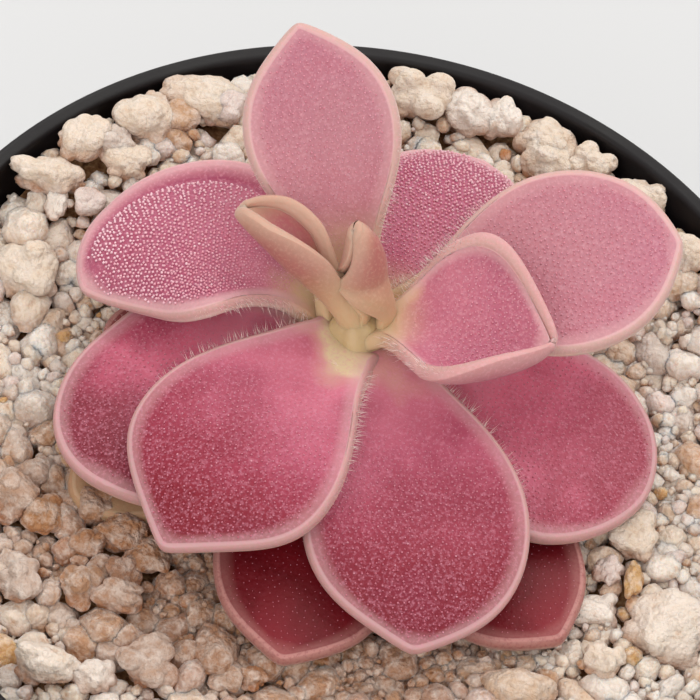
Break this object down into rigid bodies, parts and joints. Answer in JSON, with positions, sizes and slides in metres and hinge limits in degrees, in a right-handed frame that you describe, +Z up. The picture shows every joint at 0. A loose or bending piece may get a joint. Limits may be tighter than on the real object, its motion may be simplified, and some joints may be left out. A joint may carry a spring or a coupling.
{
  "type": "butterwort in a pot",
  "caption": "Potted butterwort: a flat rosette of thick, spoon-shaped pink leaves on a short crown, in a bed of crushed quartz grit in a plain round nursery pot.",
  "frame": {"origin": "middle of the pot's flat foot, on the surface it stands on", "axes": "+Z up the pot; -Y towards the viewer; the plant's crown stands 5 mm behind the pot's middle"},
  "size_m": [0.06, 0.06, 0.0646],
  "materials": {
    "pot_plastic": "satin black moulded polypropylene",
    "quartz_grit": "crushed quartz, chalky and translucent lumps",
    "crown_tissue": "soft yellow-green plant tissue",
    "leaf_red": "fleshy leaf with a fine dew of glands",
    "leaf_pale": "fleshy leaf with a fine dew of glands",
    "leaf_deep": "fleshy leaf, deep red in the shade",
    "leaf_young": "fleshy young leaf, peach outside",
    "leaf_dry": "withered translucent leaf"
  },
  "bodies": {
    "root": {"pot": "pot_plastic", "grit": "quartz_grit", "crown": "crown_tissue", "leaf_back": "leaf_pale", "leaf_back_right": "leaf_red", "leaf_right": "leaf_red", "leaf_right_small": "leaf_red", "leaf_young_left": "leaf_young", "leaf_young_middle": "leaf_young", "leaf_left_upper": "leaf_red", "leaf_left_lower": "leaf_red", "leaf_front_left": "leaf_red", "leaf_front": "leaf_red", "leaf_right_lower": "leaf_red", "leaf_under_front": "leaf_deep", "leaf_under_right": "leaf_deep", "leaf_under_left": "leaf_deep", "leaf_under_back": "leaf_deep", "leaf_under_back_right": "leaf_deep", "leaf_withered": "leaf_dry"}
  },
  "joints": []
}
